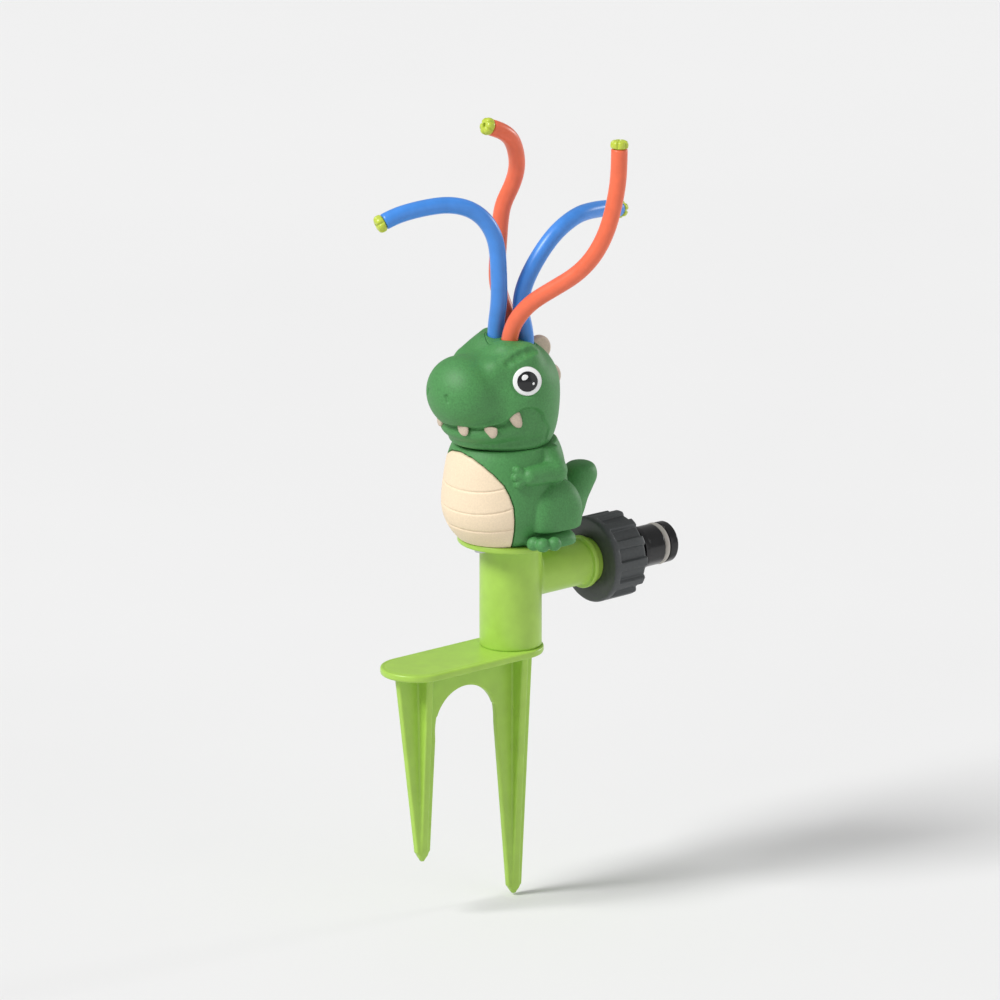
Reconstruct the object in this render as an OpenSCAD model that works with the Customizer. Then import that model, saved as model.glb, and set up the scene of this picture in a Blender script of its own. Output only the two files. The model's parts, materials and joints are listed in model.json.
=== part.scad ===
// Garden sprinkler: a two-prong ground stake carries a water column with a side inlet,
// and a cartoon dinosaur on top hides the pipework that feeds four wiggling hoses.
// Millimetres, +Z up, real size. The origin is on the column axis at ground level,
// under the foot plate. The dinosaur looks along -Y and the inlet points along +Y.

/* [Ground stake] */
// Thickness of the foot plate that is trodden into the lawn
plate_th = 2.8; // [1.5:0.1:5]
// Radius of the two round ends of the foot plate
plate_r = 13.9; // [13:0.1:20]
// Distance from the column axis to the centre of the far round end
plate_reach = 47.2; // [40:0.1:70]
// Length of the long prong, under the column
prong_long = 98.5; // [70:0.5:140]
// Length of the short prong, under the far end of the plate
prong_short = 76.2; // [50:0.2:110]
// Thickness of the flat web that both prongs share
web_th = 2.6; // [1.5:0.1:4]
// Thickness of the rib that crosses each prong
rib_th = 3.2; // [2:0.1:5]
// Half width of a prong's cross rib where it leaves the plate
rib_reach = 7.6; // [5:0.1:11]
// Radius of the arch between the prongs
arch_r = 15.2; // [10:0.1:17]

/* [Water column] */
// Radius of the column
column_r = 12; // [10:0.1:16]
// Height from the foot plate to the top of the saucer
column_h = 43.9; // [38:0.1:80]
// Radius of the saucer that the dinosaur sits on
saucer_r = 20.6; // [19:0.1:30]
// Thickness of the saucer
saucer_th = 2.4; // [1.5:0.1:5]
// Radius of the spigot on the plate that the column is glued over
spigot_r = 9; // [6:0.1:9.6]
// Height of that spigot
spigot_h = 8; // [4:0.5:9]
// Radius of the water chamber inside the column
chamber_r = 7.5; // [5:0.1:9]

/* [Inlet and coupling] */
// Height of the inlet axis above the foot plate
inlet_up = 26; // [22:0.1:30]
// Radius of the inlet tube
inlet_r = 8.8; // [7:0.1:9.5]
// Radius of the water way through the inlet
inlet_bore_r = 4.75; // [3:0.05:5.5]
// Distance from the column axis to the near face of the swivel nut
nut_y = 39; // [34:0.5:60]
// Outer radius of the nut over its ribs
nut_r = 16.8; // [16:0.1:22]
// Length of the nut
nut_len = 16.5; // [14:0.5:24]
// Number of grip ribs round the nut
nut_ribs = 12; // [6:1:20]
// Width of one grip rib
nut_rib_w = 3.8; // [2:0.1:4.5]
// Radius of the coupling thread
thread_r = 13.05; // [12:0.05:13.6]
// Thickness of the flat sealing washer
washer_th = 2.1; // [1.5:0.1:4]
// Radius of the plug that a hose connector snaps over
plug_r = 8; // [7:0.1:9]
// Distance from the nut's far face to the end of the plug
plug_out = 23; // [18:0.5:32]

/* [Pipework in the dinosaur] */
// Radius of the riser pipe
riser_r = 5; // [4:0.1:5.5]
// Wall of the riser pipe
riser_wall = 1.5; // [1:0.1:2]
// Radius of the manifold that splits the water four ways
manifold_r = 9; // [8.5:0.1:11]
// Height of the manifold body
manifold_h = 12; // [10:0.5:18]

/* [Wiggle hoses] */
// Radius of a hose
hose_r = 3.3; // [2.5:0.1:3.6]
// Radius of the bore of a hose
hose_bore_r = 2; // [1.2:0.1:2.4]
// Distance between the axes of neighbouring hoses where they leave the head
hose_pitch = 8.2; // [7.8:0.1:9]
// Radius of a nozzle cap
nozzle_r = 3.6; // [3:0.1:4.2]
// Length of a nozzle cap
nozzle_len = 3.6; // [2:0.1:8]

/* [Dinosaur] */
// Height of the dinosaur from the saucer to the hose guide
figure_h = 78.6; // [70:0.2:100]
// Wall of the two moulded shells
shell_wall = 2.2; // [1.6:0.1:3]
// Radius of the ring that joins head and body
neck_r = 13; // [11:0.1:14]
// Radius of the seat for the mounting ring under the body
seat_r = 17; // [16:0.1:17.6]
// How far the dinosaur is turned on its column
figure_turn = -5; // [-30:1:30]
// Radius of the white of an eye
eye_r = 5.6; // [4:0.1:7]
// Thickness of the cream plates down the back
crest_th = 3.4; // [2:0.1:6]

/* [Hidden] */

$fn = 96;                      // roundness of everything turned or bored
EPS = 0.01;                    // how far a cutting tool runs past a face
FIT = 0.05;                    // radial clearance of glued and plugged joints
RUN = 0.07;                    // radial clearance of the coupling thread
SEAL = 0.02;                   // radial clearance of a seal on its pipe
SLACK = 0.2;                   // end clearance of the captive nut
lime = "YellowGreen";
green = "ForestGreen";
cream = "Wheat";
black = "DimGray";
rubber = "Silver";

// heights along the column
saucer_z = plate_th + column_h;          // top of the saucer: the dinosaur's ground
inlet_z = plate_th + inlet_up;
riser_seat_z = saucer_z - 8.7;           // foot of the riser's socket
seal_h = 2.6;                            // height of an O-ring pocket
seal_w = 2.1;                            // width of an O-ring pocket
socket_floor = 3;                        // wall between spigot socket and chamber

// coupling, measured along +Y from the column axis
nut_wall = 3.2;                          // rear wall of the nut, trapped on the inlet tube
tube_flange_th = 2.5;                    // flange that traps it
flange_y = nut_y + nut_wall + SLACK;
washer_y = flange_y + tube_flange_th;
tail_y = washer_y + washer_th;
nut_end_y = nut_y + nut_len;
tail_end_y = nut_end_y + plug_out;
nut_root_r = nut_r - 1.7;                // radius between the ribs
nut_rim = 3;                             // plain rim before the ribs start
collar_r = inlet_r + 1.5;
collar_len = 2.2;
collar_gap = 2.7;                        // from the collar to the nut
tail_bore_r = 4.5;
o_ring_y = tail_end_y - 5.6;             // middle of the O-ring groove
o_ring_w = 2.8;
o_ring_proud = 0.2;
groove_depth = 1.6;

// dinosaur, measured up from the saucer and scaled to its height
fig = figure_h / 78.6;
split = 38.5;                            // joint between body and head, before scaling
split_z = saucer_z + split * fig;
guide_z = saucer_z + figure_h;           // top face of the hose guide
guide_h = 6.3;
guide_r = hose_pitch / sqrt(2) + hose_r + 0.8;
manifold_z = guide_z - 27.5 * fig;       // underside of the manifold
manifold_socket = 6;                     // depth of the riser's socket in it
barb_len = 8;
root_gap = 0.4;                          // from the manifold to the foot of a hose
exit_up = 0.3;                           // how far a root stands above the guide
pivot_up = 1.4;                          // sway axis above the guide
free_up = 0.6;                           // start of the free hose above the sway axis
pivot_z = guide_z + pivot_up;
screw_at = 14.7;                         // radius of the ring of base screws
screw_r = 1.6;
screw_head_r = 2.6;
ring_h = 6;                              // height of the mounting ring
neck_half = 5;                           // half the height of the neck ring

// ---- small helpers -----------------------------------------------------------------
function unit(v) = v / norm(v);
function clamp01(v) = min(1, max(0, v));
function blend(a, b, k) = min(a, b) - pow(max(k - abs(a - b), 0), 2) / (4 * k);

// closed skin over rings of equal count; looped joins the last ring to the first
module skin(rings, looped = false) {
    n = len(rings[0]);
    m = len(rings);
    rows = looped ? m : m - 1;
    sides = [for (i = [0:rows - 1], j = [0:n - 1])
        let (a = i * n + j, b = i * n + (j + 1) % n,
             c = ((i + 1) % m) * n + (j + 1) % n, d = ((i + 1) % m) * n + j)
        each [[a, d, c], [a, c, b]]];
    floor_cap = [[for (j = [0:n - 1]) j]];
    roof_cap = [[for (j = [0:n - 1]) m * n - 1 - j]];
    polyhedron(points = [for (ring = rings) each ring],
               faces = looped ? sides : concat(sides, floor_cap, roof_cap), convexity = 8);
}

// ---- figure as a field: negative inside, built from blended blobs ---------------------
// blob of three radii r round c
function blob(p, c, r) =
    let (q = [p[0] - c[0], p[1] - c[1], p[2] - c[2]],
         u = norm([q[0] / r[0], q[1] / r[1], q[2] / r[2]]),
         v = norm([q[0] / pow(r[0], 2), q[1] / pow(r[1], 2), q[2] / pow(r[2], 2)]))
    u < 0.01 ? -min(r) : u * (u - 1) / v;
// limb from a to b with end radii ra and rb
function limb(p, a, b, ra, rb) =
    let (h = clamp01((p - a) * (b - a) / ((b - a) * (b - a))))
    norm(p - a - (b - a) * h) - (ra + (rb - ra) * h);

function body_field(p) =
    let (s = [abs(p[0]), p[1], p[2]],
         trunk = blend(blob(p, [0, -2.6, 15], [23.5, 25, 21.3]),
                       blob(p, [0, -3, 28.6], [21.5, 22.7, 20.3]), 6),
         tail = blend(blob(p, [0, 20.5, 7], [9, 11, 9]),
                      limb(p, [0, 24.2, 4], [0, 32.8, 18.4], 6.5, 6.5), 4),
         leg = blend(blob(s, [17, 5.8, 13], [10.2, 12.2, 13.6]),
                     limb(s, [18.7, 9.2, 2.4], [25.2, -1.4, 2.4], 5, 5.5), 2),
         arm = blend(limb(s, [18.2, 5.5, 36.5], [21.4, 4, 29.2], 4.9, 4.3),
                     limb(s, [21.4, 4, 29.2], [21.2, -9.2, 29.3], 4.3, 3.7), 2))
    blend(blend(blend(trunk, max(tail, p[2] - 23.8), 4), leg, 2), arm, 2);

function head_field(p) =
    let (s = [abs(p[0]), p[1], p[2]],
         skull = blend(blob(p, [0, -1.4, 60], [21.5, 19.3, 18]),
                       blob(p, [0, -2.2, 47.5], [20.3, 19.2, 18]), 6),
         brow = limb(s, [10.2, -13.5, 70.7], [12.6, -1.5, 75.4], 3.4, 4),
         muzzle = blob(p, [0, -22.3, 60.3], [15.8, 13.2, 14.4]),
         jaw = blob(p, [0, -12.2, 46], [18.8, 17.8, 8.5]))
    blend(blend(blend(skull, muzzle, 6), jaw, 3), brow, 6);

function field(p, head) = head ? head_field(p) : body_field(p);

// walk in along a ray from far outside to the level that lies deep under the surface
function walk(o, d, t, deep, head, n = 16) =
    n == 0 || t < 0 ? max(t, 0)
    : let (f = field(o + d * t, head) + deep)
      f < 0.02 ? t : walk(o, d, t - 0.9 * f, deep, head, n - 1);
reach = 62;                              // a radius outside every part of the figure

// one ring of the figure: from height z, tilted up by el degrees, never inside r_min
cols = 72;
function ring_at(z, el, deep, head, r_min = 0) =
    [for (j = [0:cols - 1])
        let (th = 360 * j / cols, d = [cos(th) * cos(el), sin(th) * cos(el), sin(el)],
             t = max(walk([0, 0, z], d, reach, deep, head), r_min / cos(el)))
        [d[0] * t, d[1] * t, z + d[2] * t]];
function circle_at(z, r) = [for (j = [0:cols - 1]) [r * cos(360 * j / cols), r * sin(360 * j / cols), z]];
// ring of radius r dropped onto the figure from above
function crown_at(r, deep, head) =
    [for (j = [0:cols - 1])
        let (o = [r * cos(360 * j / cols), r * sin(360 * j / cols), 40])
        [o[0], o[1], o[2] + walk(o, [0, 0, 1], reach, deep, head)]];
function lift(ring) = [for (p = ring) [p[0] * fig, p[1] * fig, saucer_z + p[2] * fig]];
module on_column() { rotate([0, 0, figure_turn]) children(); }
function true_r(ring) = [for (p = ring) [p[0] / fig, p[1] / fig, p[2]]];

// the belly inlay: half its angle at each height, and its sunk bed in the body
belly_depth = 1.3;
belly_top = 36.4;
belly_outline = [[0, 55.6], [3, 57], [8, 58.3], [12.6, 58.6], [17.8, 57.7], [22.4, 53.9], [26.2, 49],
    [30.2, 39.2], [33.2, 28.9], [35.5, 17.2], [36.4, 6]];
function in_belly(p) =
    abs(atan2(p[0], -p[1])) < lookup(p[2], belly_outline) + 2.6 && p[2] < belly_top + 0.8;
function sink(ring) =
    [for (p = ring) in_belly(p)
        ? [p[0] * (1 - belly_depth / norm([p[0], p[1]])), p[1] * (1 - belly_depth / norm([p[0], p[1]])), p[2]]
        : p];

module dino_body() {
    up = [0, 1, 2.5, 4.5, 6.5, 8.5, 10.5, 12.5, 14.5, 16.5, 18.5, 20.5, 22.2, 23.6, 24.8, 26.5, 28.5,
        30.5, 32.5, 34.4, 36.6, split];
    down = [31, 27, 23, 19, 15, 11, ring_h / fig + 2];
    outer = [for (z = up) lift(sink(ring_at(z, 0, 0, false)))];
    neck = [lift(true_r(circle_at(split, neck_r))), lift(true_r(circle_at(split - 6, neck_r)))];
    core = [for (z = down) lift(ring_at(z, 0, shell_wall, false, neck_r / fig))];
    seat = [lift(true_r(circle_at(ring_h / fig, seat_r))), lift(true_r(circle_at(0, seat_r)))];
    color(green) on_column() skin(concat(outer, neck, core, seat), looped = true);
}

module dino_head() {
    eye_line = 57;
    outer = concat(
        [for (z = [split, 40, 42, 44.5, 47, 49.5, 52, 54.5]) lift(ring_at(z, 0, 0, true))],
        [for (el = [0:5.5:60.5]) lift(ring_at(eye_line, el, 0, true))],
        [lift(crown_at(guide_r / fig, 0, true))]);
    inner = concat(
        [lift(crown_at(guide_r / fig, shell_wall + 1, true))],
        [for (el = [48, 36, 24, 12, 0]) lift(ring_at(eye_line, el, shell_wall, true, guide_r / fig))],
        [for (z = [53, 49, 45.5]) lift(ring_at(z, 0, shell_wall, true, neck_r / fig))],
        [lift(true_r(circle_at(split + 6, neck_r))), lift(true_r(circle_at(split, neck_r)))]);
    color(green) on_column() skin(concat(outer, inner), looped = true);
}

module belly_panel() {
    rows = [0.2, 2.5, 5, 8, 11, 14, 17, 20, 23, 26, 28, 30, 31.8, 33.4, 34.8, 35.7, belly_top];
    strips = 16;
    color(cream) on_column() skin([for (z = rows)
        let (w = lookup(z, belly_outline),
             arc = [for (i = [0:strips]) -90 + w * (2 * i / strips - 1)],
             face = [for (th = arc) walk([0, 0, z], [cos(th), sin(th), 0], reach, 0, false)])
        lift(concat([for (i = [0:strips]) [cos(arc[i]), sin(arc[i]), 0] * (face[i] + 0.1) + [0, 0, z]],
            [for (i = [strips:-1:0]) [cos(arc[i]), sin(arc[i]), 0] * (face[i] - belly_depth + 0.1) + [0, 0, z]]))]);
}

// upper teeth on the lip: angle from straight ahead, height, length
tooth_list = [[15.2, 49.6, 4.2], [37, 49.8, 4.4], [58.5, 53.6, 5.4]];
tooth_r = 2.2;
tooth_tip_r = 0.8;
module teeth() {
    color(cream) on_column() for (t = tooth_list, side = [-1, 1]) {
        d = [sin(t[0]) * side, -cos(t[0]), 0];
        r = walk([0, 0, t[1]], d, reach, 0, true) - 0.4;
        p = [d[0] * r, d[1] * r, t[1] + 1] * fig + [0, 0, saucer_z];
        translate(p)
            rotate([0, 0, atan2(d[1], d[0])])
            rotate([0, 172, 0]) {
                cylinder(r1 = tooth_r, r2 = tooth_tip_r, h = t[2] - tooth_tip_r, $fn = 32);
                translate([0, 0, t[2] - tooth_tip_r]) sphere(r = tooth_tip_r, $fn = 32);
            }
    }
}

// a round cream plate on the back: y, height, radius
module plate_row(list) {
    color(cream) on_column() for (q = list)
        translate([-crest_th / 2, q[0] * fig, saucer_z + q[1] * fig])
            rotate([0, 90, 0])
            cylinder(r = q[2] * fig, h = crest_th);
}
module head_crest() {
    difference() {
        plate_row([[12.9, 72, 5.3], [17.7, 60, 5.3]]);
        translate([0, 0, guide_z - guide_h - 1]) cylinder(r = guide_r + FIT, h = guide_h + 2);
    }
}
module back_plates() { plate_row([[17.6, 33.3, 4.2], [19.4, 25.5, 5]]); }

// eyes: a domed white, a domed pupil set into it and two glints set into the pupil
eye_from = [8.8, -0.3, 65];
eye_dir = unit([0.88, -0.46, 0.14]);
eye_dome_r = 14;
eye_floor = 0.15;                        // floor of the pupil's pocket, above the skin
glint_floor = 0.6;
pupil_r = eye_r * 0.72;
eye_front = walk(eye_from, eye_dir, 40, 0, true);
module at_eyes() {
    p = (eye_from + eye_dir * eye_front) * fig + [0, 0, saucer_z];
    on_column() for (side = [-1, 1])
        translate([p[0] * side, p[1], p[2]])
            rotate([0, acos(eye_dir[2]), atan2(eye_dir[1], eye_dir[0] * side)])
            children();
}
module dome(r, top, bottom) {
    intersection() {
        translate([0, 0, bottom]) cylinder(r = r, h = top - bottom + 1);
        translate([0, 0, top - eye_dome_r]) sphere(r = eye_dome_r);
    }
}
module glint_spots(grow = 0) {
    translate([-1.45, -0.9, 0]) circle(r = 1.3 + grow, $fn = 32);
    translate([0.75, 2.1, 0]) circle(r = 0.65 + grow, $fn = 32);
}
module eye_whites() {
    color("White") at_eyes() difference() {
        dome(eye_r, 1, -2.4);
        translate([0, 0, eye_floor]) cylinder(r = pupil_r + FIT, h = 4);
    }
}
module eye_pupils() {
    color("Black") at_eyes() difference() {
        dome(pupil_r, 1.2, eye_floor);
        translate([0, 0, glint_floor]) linear_extrude(2) glint_spots(FIT);
    }
}
module eye_glints() {
    color("White") at_eyes() translate([0, 0, glint_floor]) linear_extrude(0.7) glint_spots();
}

// ---- stake ------------------------------------------------------------------------------
arch_y = -plate_reach * 0.4936;         // middle of the arch, between the prongs
arch_top = 9.5;                          // depth of its crown under the plate
short_y = plate_reach * 0.94;            // line of the short prong's tip
short_lean = 1.4;                        // it leans in by this much over its length
tip_half = 2.6;                          // half the width of a prong just above its point
point_len = 4;
long_mid = 1.4;                          // the long prong's tip, just off the column axis
near_mid = 1.5;                          // middle of the near round end, beside the column axis
module prong_web() {
    far_edge = plate_reach + plate_r - 3.9;
    near_edge = plate_r - 3.7;
    left = arch_y - arch_r + 0.6;
    right = arch_y + arch_r - 0.6;
    spring = arch_top + arch_r - 5;
    translate([-web_th / 2, 0, 0]) rotate([90, 0, 90]) linear_extrude(web_th) difference() {
        polygon([[-far_edge, 0], [near_edge, 0],
            [long_mid + tip_half + 0.6, -(prong_long - point_len)], [long_mid, -prong_long],
            [long_mid - tip_half - 0.6, -(prong_long - point_len)], [right, -spring],
            [left, -spring],
            [-short_y + tip_half, -(prong_short - point_len)], [-short_y, -prong_short],
            [-short_y - tip_half, -(prong_short - point_len)]]);
        translate([arch_y, -arch_top - arch_r]) circle(r = arch_r);
    }
}
module prong_rib(y, len, half, lean) {
    translate([0, y - lean, 0]) rotate([asin(lean / len), 0, 0])
        translate([0, rib_th / 2, 0]) rotate([90, 0, 0]) linear_extrude(rib_th)
        polygon([[-half, 0], [half, 0], [1.8, -(len - point_len)], [0, -len], [-1.8, -(len - point_len)]]);
}
module ground_stake() {
    color(lime) {
        linear_extrude(plate_th) union() {
            translate([0, -near_mid]) circle(r = plate_r);
            translate([0, -plate_reach]) circle(r = plate_r);
            translate([-plate_r, -plate_reach]) square([2 * plate_r, plate_reach - near_mid]);
        }
        translate([0, 0, plate_th]) cylinder(r = spigot_r - FIT, h = spigot_h);
        prong_web();
        prong_rib(long_mid, prong_long, rib_reach, 0);
        prong_rib(-short_y, prong_short, rib_reach - 0.4, short_lean);
    }
}

// ---- column -----------------------------------------------------------------------------
module along_inlet(y) { translate([0, y, inlet_z]) rotate([-90, 0, 0]) children(); }
module at_screws() {
    for (k = [30, 150, 270]) rotate([0, 0, k]) translate([screw_at, 0, 0]) children();
}
chamber_z = plate_th + spigot_h + socket_floor;
module column() {
    color(lime) difference() {
        union() {
            translate([0, 0, plate_th]) cylinder(r = column_r, h = column_h);
            translate([0, 0, saucer_z - saucer_th]) cylinder(r1 = saucer_r - 0.5, r2 = saucer_r, h = 0.5);
            translate([0, 0, saucer_z - saucer_th + 0.5]) cylinder(r = saucer_r, h = saucer_th - 0.5);
            along_inlet(0) cylinder(r = inlet_r, h = washer_y);
            along_inlet(nut_y - collar_gap - collar_len) cylinder(r = collar_r, h = collar_len);
            along_inlet(flange_y) cylinder(r = thread_r - 0.8, h = tube_flange_th);
        }
        translate([0, 0, plate_th - EPS]) cylinder(r = spigot_r, h = spigot_h + EPS);
        translate([0, 0, chamber_z]) cylinder(r = chamber_r, h = riser_seat_z - 2 - chamber_z);
        translate([0, 0, chamber_z + EPS]) cylinder(r = riser_r - riser_wall, h = column_h);
        translate([0, 0, riser_seat_z]) cylinder(r = riser_r + FIT, h = column_h);
        translate([0, 0, saucer_z - seal_h - 0.3]) cylinder(r = riser_r + seal_w + FIT, h = column_h);
        along_inlet(0) cylinder(r = inlet_bore_r, h = washer_y + EPS);
        at_screws() translate([0, 0, saucer_z - saucer_th - 1]) cylinder(r = screw_r + 0.2, h = saucer_th + 2);
    }
}

// ---- coupling ---------------------------------------------------------------------------
module swivel_nut() {
    color(black) difference() {
        union() {
            along_inlet(nut_y) cylinder(r1 = nut_r - 0.7, r2 = nut_r, h = 0.7);
            along_inlet(nut_y + 0.7) cylinder(r = nut_r, h = nut_rim - 0.7);
            along_inlet(nut_y + nut_rim) cylinder(r = nut_root_r, h = nut_len - nut_rim);
            for (k = [0:nut_ribs - 1])
                along_inlet(nut_y + nut_rim - 0.5) rotate([0, 0, 360 * k / nut_ribs])
                    translate([nut_root_r - 1, -nut_rib_w / 2, 0])
                    cube([nut_r - nut_root_r + 0.9, nut_rib_w, nut_len - nut_rim + 0.2]);
        }
        along_inlet(nut_y - 1) cylinder(r = inlet_r + 0.1, h = nut_len);
        along_inlet(nut_y + nut_wall) cylinder(r = thread_r + RUN, h = nut_len);
    }
}
module coupling_washer() {
    color(rubber) difference() {
        along_inlet(washer_y) cylinder(r = thread_r - 1.2, h = washer_th);
        along_inlet(washer_y - 1) cylinder(r = inlet_bore_r, h = washer_th + 2);
    }
}
module hose_tail() {
    shoulder_y = nut_end_y + plug_out * 0.26;
    body_y = shoulder_y + 2.6;
    color(black) difference() {
        union() {
            along_inlet(tail_y) cylinder(r = thread_r, h = nut_end_y - tail_y - 0.3);
            along_inlet(tail_y) cylinder(r = plug_r - 0.9, h = tail_end_y - tail_y - 1);
            along_inlet(shoulder_y) cylinder(r = plug_r + 0.4, h = body_y - shoulder_y);
            along_inlet(shoulder_y) cylinder(r = plug_r, h = tail_end_y - shoulder_y - 0.8);
            along_inlet(tail_end_y - 0.8) cylinder(r1 = plug_r, r2 = plug_r - 0.8, h = 0.8);
        }
        difference() {
            along_inlet(o_ring_y - o_ring_w / 2) cylinder(r = plug_r + 1, h = o_ring_w);
            along_inlet(o_ring_y - o_ring_w) cylinder(r = plug_r - groove_depth, h = 2 * o_ring_w);
        }
        along_inlet(tail_y - 1) cylinder(r = tail_bore_r, h = tail_end_y);
    }
}
module tail_o_ring() {
    color(rubber) along_inlet(o_ring_y) rotate_extrude() intersection() {
        translate([plug_r - groove_depth, -o_ring_w / 2]) square([groove_depth + o_ring_proud, o_ring_w]);
        translate([plug_r - groove_depth + 0.35, 0]) circle(r = groove_depth + o_ring_proud - 0.35, $fn = 48);
    }
}

// ---- pipework ---------------------------------------------------------------------------
module at_hoses() {
    for (sx = [-1, 1], sy = [-1, 1]) translate([sx * hose_pitch / 2, sy * hose_pitch / 2, 0]) children();
}
module tube(r, bore, z, h) {
    difference() {
        translate([0, 0, z]) cylinder(r = r, h = h);
        translate([0, 0, z - 1]) cylinder(r = bore, h = h + 2);
    }
}
module riser_pipe() {
    color(rubber)
        tube(riser_r, riser_r - riser_wall, riser_seat_z, manifold_z + manifold_socket - riser_seat_z);
}
module riser_seal() {
    color(black) tube(riser_r + seal_w, riser_r + SEAL, saucer_z - seal_h, seal_h - 0.2);
}
module manifold() {
    plenum_r = hose_pitch / sqrt(2) + 1.2;
    color(lime) difference() {
        union() {
            translate([0, 0, manifold_z]) cylinder(r = manifold_r, h = manifold_h);
            at_hoses() translate([0, 0, manifold_z + manifold_h]) cylinder(r = hose_bore_r, h = barb_len);
        }
        translate([0, 0, manifold_z - EPS]) cylinder(r = riser_r + FIT, h = manifold_socket + EPS);
        translate([0, 0, manifold_z - EPS]) cylinder(r = riser_r + seal_w + FIT, h = seal_h + 0.2);
        translate([0, 0, manifold_z + manifold_socket - EPS]) cylinder(r = riser_r - riser_wall, h = 2);
        translate([0, 0, manifold_z + manifold_socket + 1.2])
            cylinder(r = plenum_r, h = manifold_h - manifold_socket - 2.7);
        at_hoses() translate([0, 0, manifold_z + manifold_h - 3])
            cylinder(r = hose_bore_r - 0.8, h = barb_len + 4);
    }
}
module manifold_seal() { color(black) tube(riser_r + seal_w, riser_r + SEAL, manifold_z, seal_h); }
module hose_guide() {
    color(green) difference() {
        translate([0, 0, guide_z - guide_h]) cylinder(r = guide_r - 0.1, h = guide_h);
        at_hoses() translate([0, 0, guide_z - guide_h - 1]) cylinder(r = hose_r + 0.1, h = guide_h + 2);
    }
}

// ---- joints of the shell ----------------------------------------------------------------
module mounting_ring() {
    color(green) difference() {
        tube(seat_r - 0.1, screw_at - 2.7, saucer_z, ring_h);
        at_screws() translate([0, 0, saucer_z - 1]) cylinder(r = screw_r, h = ring_h);
    }
}
module base_screws() {
    head_z = saucer_z - saucer_th;
    color(rubber) at_screws() difference() {
        union() {
            translate([0, 0, head_z - 1.8]) cylinder(r = screw_head_r, h = 1.8, $fn = 48);
            translate([0, 0, head_z]) cylinder(r = screw_r, h = saucer_th + ring_h - 1.6, $fn = 48);
        }
        for (turn = [0, 90]) rotate([0, 0, turn])
            translate([-1.7, -0.35, head_z - 1.8 - EPS]) cube([3.4, 0.7, 1]);
    }
}
module neck_ring() { color(green) tube(neck_r - 0.1, neck_r - 1.8, split_z - neck_half, 2 * neck_half); }

// ---- hoses: centre lines from the sway axis, then rings carried along them --------------
front_blue_line = [[0, 0, 0.6], [0.5, 0, 5], [2, 0, 13], [2.5, -0.5, 24.5], [2.5, -1.5, 36],
    [1.5, -3.5, 42.6], [0, -6.5, 47.5], [-2.5, -11.5, 51.5], [-6, -19, 53.5], [-9.5, -29, 53.1],
    [-12.6, -38.3, 51.5], [-14.6, -43.4, 49.3]];
front_orange_line = [[0, 0, 0.6], [1, 0.5, 4], [3, 1.5, 8.5], [8.4, 4.3, 15.4], [16, 8.8, 21.7],
    [23.5, 13.8, 28.1], [28.7, 18.2, 35.8], [31.4, 22.4, 45.6], [32.2, 25.7, 57], [32.1, 27.6, 66.5],
    [31.5, 28.5, 77]];
rear_blue_line = [[0, 0, 0.6], [-1.2, -0.2, 4.5], [-3.2, 0, 9.5], [-3.2, 1.2, 16.5], [-2, 4.2, 24.2],
    [-0.6, 9.4, 32.2], [0.2, 16.1, 38.6], [-0.3, 26.1, 42.6], [-2.8, 36.1, 42.2], [-5.6, 45.6, 40.6],
    [-8.6, 53.5, 38.2]];
rear_orange_line = [[0, 0, 0.6], [-1.5, -0.5, 5], [-4.2, -1.7, 11.5], [-6.8, -1.8, 18], [-7.8, -0.8, 25.5],
    [-8.2, 0.4, 34], [-8.9, 1.6, 41], [-9, 3.2, 48], [-7.4, 5.8, 54], [-5.3, 6.9, 61.5], [-3.8, 5.4, 68.2],
    [-2.9, 2.2, 75.2], [-2.7, -2.8, 79.2], [-3.4, -7.8, 81.4]];
hose_sides = 10;
hose_rings = 17;

// point at share s of a smooth curve through the line's points
function on_line(p, s) =
    let (n = len(p) - 1, x = s * n, i = min(floor(x), n - 1), t = x - i,
         a = p[max(i - 1, 0)], b = p[i], c = p[i + 1], d = p[min(i + 2, n)])
    0.5 * (2 * b + (c - a) * t + (2 * a - 5 * b + 4 * c - d) * t * t
        + (3 * b - 3 * c + d - a) * t * t * t);
function turn_on(t, v, i = 0) =
    i == len(t) - 1 ? [v]
    : concat([v], turn_on(t, unit(v - (v * t[i + 1]) * t[i + 1]), i + 1));
function hose_mids(line) = [for (k = [0:hose_rings - 1]) on_line(line, k / (hose_rings - 1))];
function hose_ways(mid) =
    [for (i = [0:len(mid) - 1]) i == 0 ? [0, 0, 1]
        : unit(mid[min(i + 1, len(mid) - 1)] - mid[i - 1])];
module hose(line, sx, sy) {
    mid = hose_mids(line);
    way = hose_ways(mid);
    side = turn_on(way, [1, 0, 0]);
    translate([sx * hose_pitch / 2, sy * hose_pitch / 2, pivot_z])
        skin([for (i = [0:len(mid) - 1])
            [for (j = [0:hose_sides - 1])
                let (th = 360 * j / hose_sides)
                mid[i] + hose_r * (cos(th) * side[i] + sin(th) * cross(way[i], side[i]))]]);
}
module hose_root(sx, sy) {
    foot = manifold_z + manifold_h + root_gap;
    translate([sx * hose_pitch / 2, sy * hose_pitch / 2, 0])
        skin([for (z = [foot, guide_z + exit_up])
            [for (j = [0:hose_sides - 1])
                [hose_r * cos(360 * j / hose_sides), hose_r * sin(360 * j / hose_sides), z]]]);
}
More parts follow.
